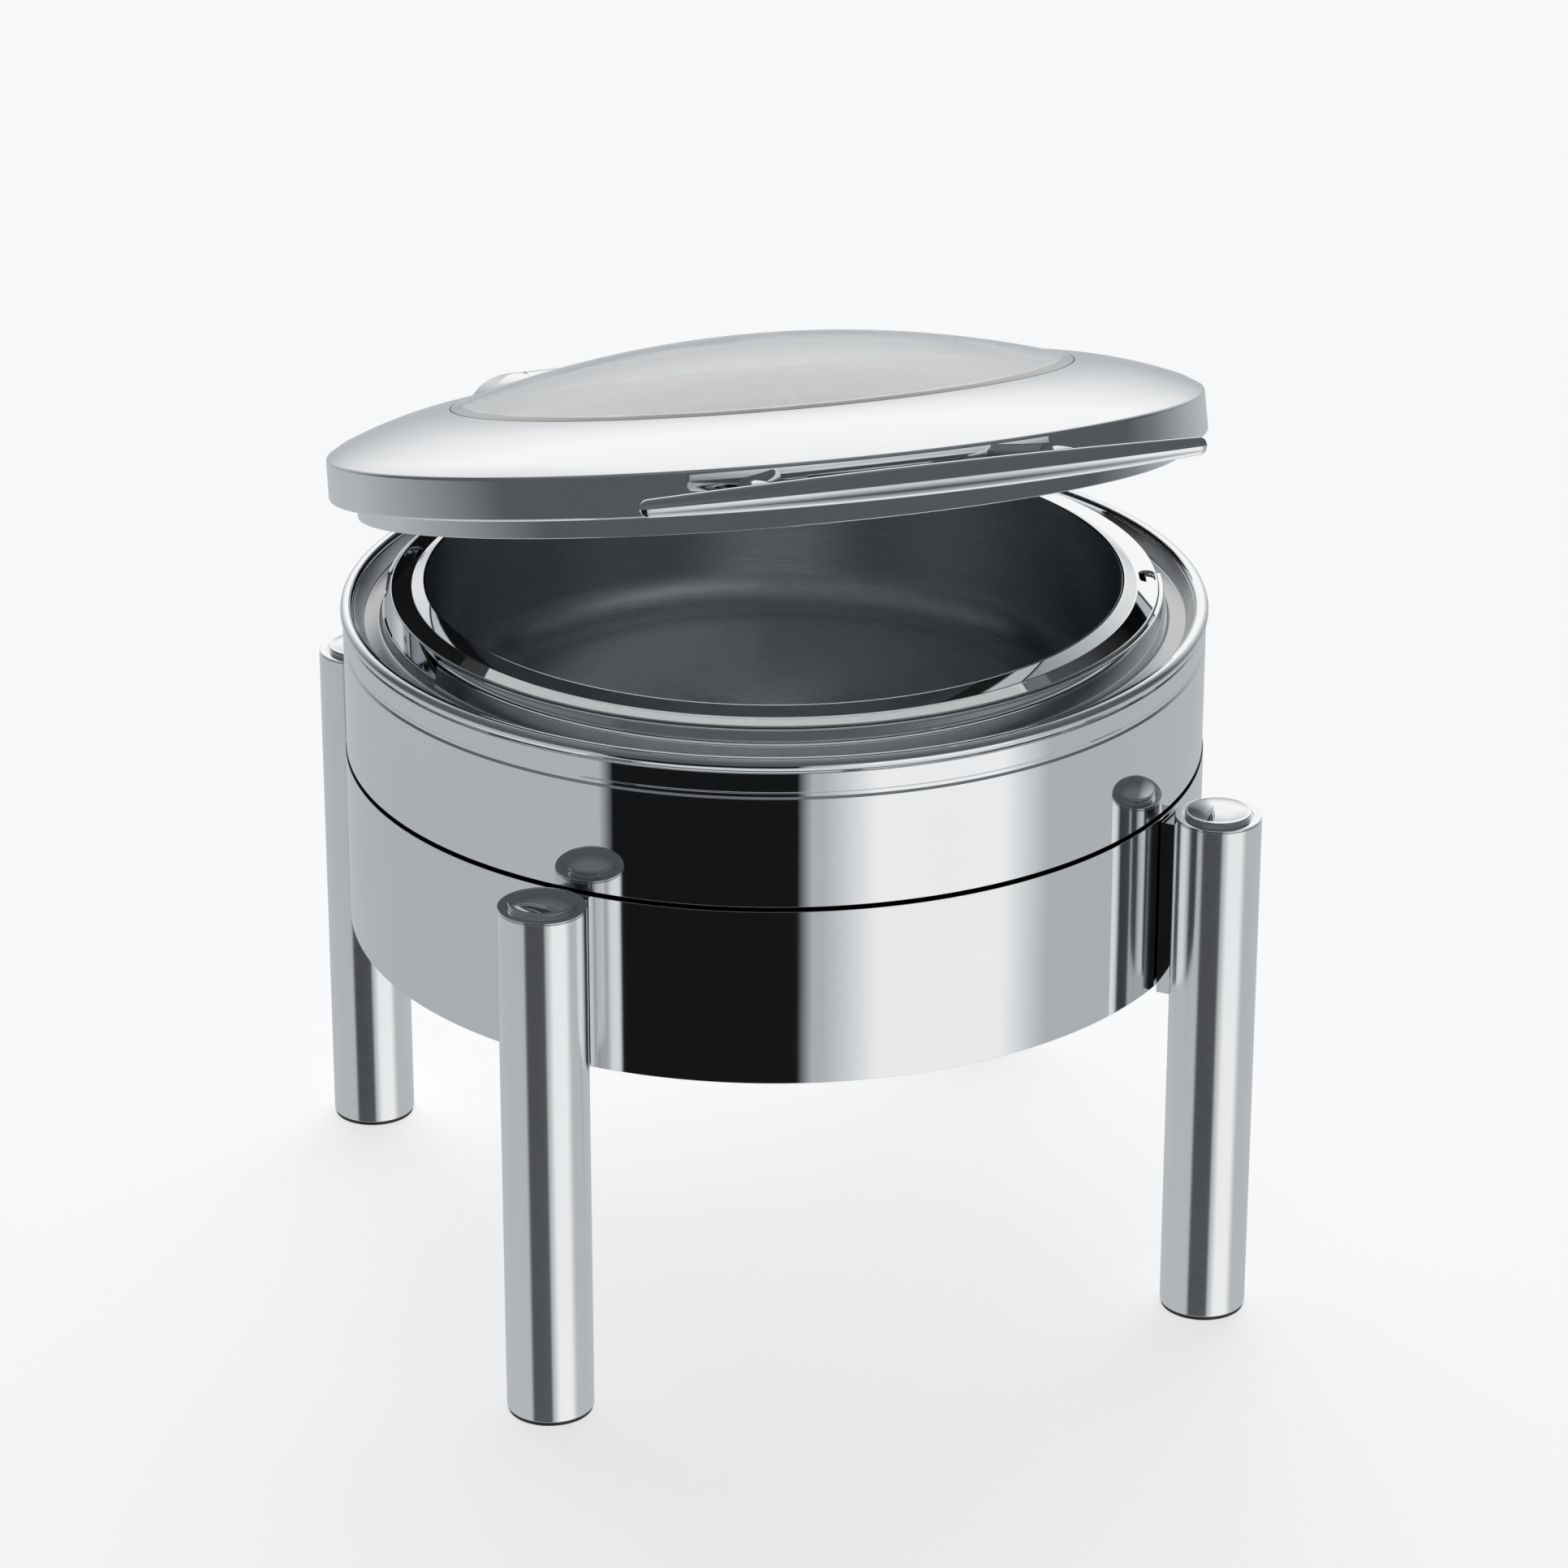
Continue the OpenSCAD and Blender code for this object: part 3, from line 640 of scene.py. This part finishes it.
def caps():
    """The four leg caps, each a collar with a domed button."""
    top = 265.5
    button, rise = 16.2, 3.4
    ball = (button ** 2 + rise ** 2) / (2 * rise)
    foot = top + 3.0
    centre = foot + rise - ball
    dome = []
    for k in range(14, -1, -1):
        x = 15.7 * k / 14
        dome.append((x, centre + math.sqrt(ball ** 2 - x * x), None))
    corners = [
        (0, top - 12, None), (19.6, top - 12, 0.3), (19.6, top + 0.05, 0.1),
        (21.0, top + 0.05, 0.15), (21.0, top + 0.85, 0.3), (17.2, top + 0.85, 0.25),
        (17.0, top + 0.35, 0.2), (16.4, top + 0.35, 0.15),
        (16.0, top + 1.0, 0.2), (button, foot - 0.4, 0.2), (button, foot + 0.45, 0.45),
    ] + dome
    points = outline(corners)
    build = Build()
    for angle in LEG_ANGLES:
        build.turn(points, centre=around(angle, LEG_CIRCLE), segments=96)
    build.finished("cap_buttons", [MIRROR], "stand", ["leg_caps"])


def handle():
    """The bowed flat bar: a ridged section swept along the bow, lower towards its ends."""
    bow, middle, length = 846.0, 252.0, 272.0
    height, end_height, deep = 14.0, 8.4, 6.0
    z_middle = 355.0
    half = length / 2
    # the section, as shares of half the height, and mm behind the front face
    section = [(1.0, 2.2), (1.0, 1.5), (0.95, 0.95), (0.84, 0.75), (0.55, 0.55), (0.2, 0.3),
               (0.08, 0.05), (0.0, 0.0), (-0.08, 0.05), (-0.2, 0.3), (-0.55, 0.55),
               (-0.84, 0.75), (-0.95, 0.95), (-1.0, 1.5), (-1.0, 2.2), (-1.0, 4.6),
               (-0.95, 5.5), (-0.8, 6.0), (0.8, 6.0), (0.95, 5.5), (1.0, 4.6)]
    stations = []
    count = 120
    for k in range(count + 1):
        x = -half * math.cos(math.pi * k / count)
        run = half - end_height / 2
        tall = height / 2 - (height - end_height) / 2 * min(1.0, abs(x) / run) ** 2
        beyond = abs(x) - run
        if beyond > 0:
            tall = math.sqrt(max(0.0, (end_height / 2) ** 2 - beyond ** 2))
        stations.append((x, max(tall, 0.35)))
    verts, faces = [], []
    for x, tall in stations:
        turn = math.asin(x / bow)
        outward = Vector((math.sin(turn), -math.cos(turn), 0))
        for share, back in section:
            squeeze = min(1.0, tall / (end_height / 2))
            back = 3.0 + (back - 3.0) * (0.55 + 0.45 * squeeze)
            place = outward * (bow + deep / 2 - back) + Vector((0, bow - middle, z_middle))
            place.z += share * tall
            verts.append(opened(place * MM))
    ring = len(section)
    for k in range(count):
        for j in range(ring):
            n = (j + 1) % ring
            faces.append((k * ring + j, k * ring + n, (k + 1) * ring + n, (k + 1) * ring + j))
    faces.append(tuple(range(ring - 1, -1, -1)))
    faces.append(tuple(range(count * ring, (count + 1) * ring)))
    mesh = bpy.data.meshes.new("handle_grip")
    mesh.from_pydata(verts, [], faces)
    mesh.materials.append(MIRROR)
    bm = bmesh.new()
    bm.from_mesh(mesh)
    bmesh.ops.recalc_face_normals(bm, faces=bm.faces)
    for face in bm.faces:
        face.smooth = len(face.verts) == 4
    bm.to_mesh(mesh)
    bm.free()
    piece = bpy.data.objects.new("handle_grip", mesh)
    bpy.context.scene.collection.objects.link(piece)
    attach(piece, "lid")
    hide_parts("handle_bar")


band()
casing()
water_pan()
food_pan()
lid_shell()
lid_skirt()
window()
legs()
caps()
handle()

# ------------------------------------------------------------------ studio

# A plain studio: pale surroundings, a bright backdrop, one large soft box at the right, and the
# unlit room in front. Headings are degrees from the camera's side, growing towards its right.
SURROUNDINGS = 0.55
BACKDROP_HEIGHTS = [(-10, 0.5), (10, 1.0), (20, 1.15), (50, 1.1), (90, 0.3)]
BACKDROP_EDGE = (120, 160)
ROOM_HEIGHTS = [(-10, 0.12), (30, 0.12), (50, 0.2), (90, 0.2)]
SOFT_BOX = (20, 70, 15)
SOFT_BOX_LEVEL = 1.05
UNLIT_ROOM = (-45, 8, 4)
UNLIT_LEVEL = 0.01
FLOOR_LEVEL = 0.8
# Where the floor gives way to the walls, and the walls to what is above them
FLOOR_EDGE = (-55, -38)
EYE_LEVEL = (-18, -4)
COOL_LIGHT = (0.90, 0.97, 1.04)
WHITE_LIGHT = (1.0, 1.0, 0.995)


def ramp(tree, value, stops, low, high):
    """Looks a value up in a list of (place, brightness)."""
    node = tree.nodes.new("ShaderNodeValToRGB")
    elements = node.color_ramp.elements
    while len(elements) < len(stops):
        elements.new(0.5)
    for element, (place, level) in zip(elements, stops):
        element.position = (place - low) / (high - low)
        element.color = (level, level, level, 1)
    tree.links.new(remap(tree, value, 0.0, 1.0, low, high), node.inputs[0])
    return node.outputs[0]


def lerp(tree, factor, a, b):
    node = tree.nodes.new("ShaderNodeMix")
    node.data_type = "FLOAT"
    tree.links.new(factor, node.inputs["Factor"])
    for socket, value in ((node.inputs["A"], a), (node.inputs["B"], b)):
        if isinstance(value, (int, float)):
            socket.default_value = value
        else:
            tree.links.new(value, socket)
    return node.outputs["Result"]


def between(tree, value, low, high, soft):
    rise = remap(tree, value, 0.0, 1.0, low - soft / 2, low + soft / 2)
    fall = remap(tree, value, 1.0, 0.0, high - soft / 2, high + soft / 2)
    return math_node(tree, "MULTIPLY", rise, fall)


def studio():
    """The world's light by direction. The camera itself sees plain white behind the object."""
    world = bpy.data.worlds.new("studio")
    bpy.context.scene.world = world
    world.use_nodes = True
    tree = world.node_tree
    tree.nodes.clear()
    coord = tree.nodes.new("ShaderNodeTexCoord")
    split = tree.nodes.new("ShaderNodeSeparateXYZ")
    tree.links.new(coord.outputs["Generated"], split.inputs[0])
    x, y, z = split.outputs
    # heading 0 points from the object to the camera, and grows towards the camera's right
    toward = (math.sin(CAMERA_HEADING), -math.cos(CAMERA_HEADING))
    right = (-toward[1], toward[0])
    along = math_node(tree, "ADD", math_node(tree, "MULTIPLY", x, toward[0]),
                      math_node(tree, "MULTIPLY", y, toward[1]))
    across = math_node(tree, "ADD", math_node(tree, "MULTIPLY", x, right[0]),
                       math_node(tree, "MULTIPLY", y, right[1]))
    heading = math_node(tree, "MULTIPLY", math_node(tree, "ARCTAN2", across, along),
                        180 / math.pi)
    height = math_node(tree, "MULTIPLY", math_node(tree, "ARCSINE", z), 180 / math.pi)
    low = lerp(tree, between(tree, heading, *SOFT_BOX), SURROUNDINGS, SOFT_BOX_LEVEL)
    low = lerp(tree, between(tree, heading, *UNLIT_ROOM), low, UNLIT_LEVEL)
    low = lerp(tree, remap(tree, height, 0.0, 1.0, *FLOOR_EDGE), FLOOR_LEVEL, low)
    behind = remap(tree, math_node(tree, "ABSOLUTE", heading), 0.0, 1.0, *BACKDROP_EDGE)
    above = lerp(tree, behind, ramp(tree, height, ROOM_HEIGHTS, -90, 90),
                 ramp(tree, height, BACKDROP_HEIGHTS, -90, 90))
    level = lerp(tree, remap(tree, height, 0.0, 1.0, *EYE_LEVEL), low, above)
    colour = tint(tree, remap(tree, level, 0.0, 1.0, 0.2, 1.0), COOL_LIGHT, WHITE_LIGHT)
    seen = tree.nodes.new("ShaderNodeBackground")
    seen.inputs["Color"].default_value = (1, 1, 1, 1)
    lit = tree.nodes.new("ShaderNodeBackground")
    tree.links.new(colour, lit.inputs["Color"])
    tree.links.new(level, lit.inputs["Strength"])
    path = tree.nodes.new("ShaderNodeLightPath")
    choose = tree.nodes.new("ShaderNodeMixShader")
    tree.links.new(path.outputs["Is Camera Ray"], choose.inputs["Fac"])
    tree.links.new(lit.outputs[0], choose.inputs[1])
    tree.links.new(seen.outputs[0], choose.inputs[2])
    out = tree.nodes.new("ShaderNodeOutputWorld")
    tree.links.new(choose.outputs[0], out.inputs["Surface"])


def floor():
    """A pale floor, left out of reflections so that the polished walls show the studio."""
    mesh = bpy.data.meshes.new("floor")
    bm = bmesh.new()
    bmesh.ops.create_grid(bm, x_segments=8, y_segments=8, size=9.0)
    bm.to_mesh(mesh)
    bm.free()
    plane = bpy.data.objects.new("floor", mesh)
    bpy.context.scene.collection.objects.link(plane)
    mat, _, bsdf = new_material("floor_white")
    bsdf.inputs["Base Color"].default_value = (0.9, 0.9, 0.9, 1)
    bsdf.inputs["Roughness"].default_value = 0.8
    bsdf.inputs["Specular IOR Level"].default_value = 0.1
    bsdf.inputs["Emission Color"].default_value = (1, 1, 1, 1)
    bsdf.inputs["Emission Strength"].default_value = 0.62
    mesh.materials.append(mat)
    plane.visible_glossy = False
    plane.visible_shadow = False


def camera():
    data = bpy.data.cameras.new("camera")
    data.lens = LENS
    data.sensor_width = 36.0
    data.shift_x, data.shift_y = SHIFT
    data.clip_end = 50.0
    eye = bpy.data.objects.new("camera", data)
    bpy.context.scene.collection.objects.link(eye)
    eye.location = CAMERA_AT
    eye.rotation_euler = (math.pi / 2 - CAMERA_DOWN, 0, CAMERA_HEADING)
    bpy.context.scene.camera = eye


bpy.context.scene.view_settings.view_transform = "Standard"
studio()
floor()
camera()
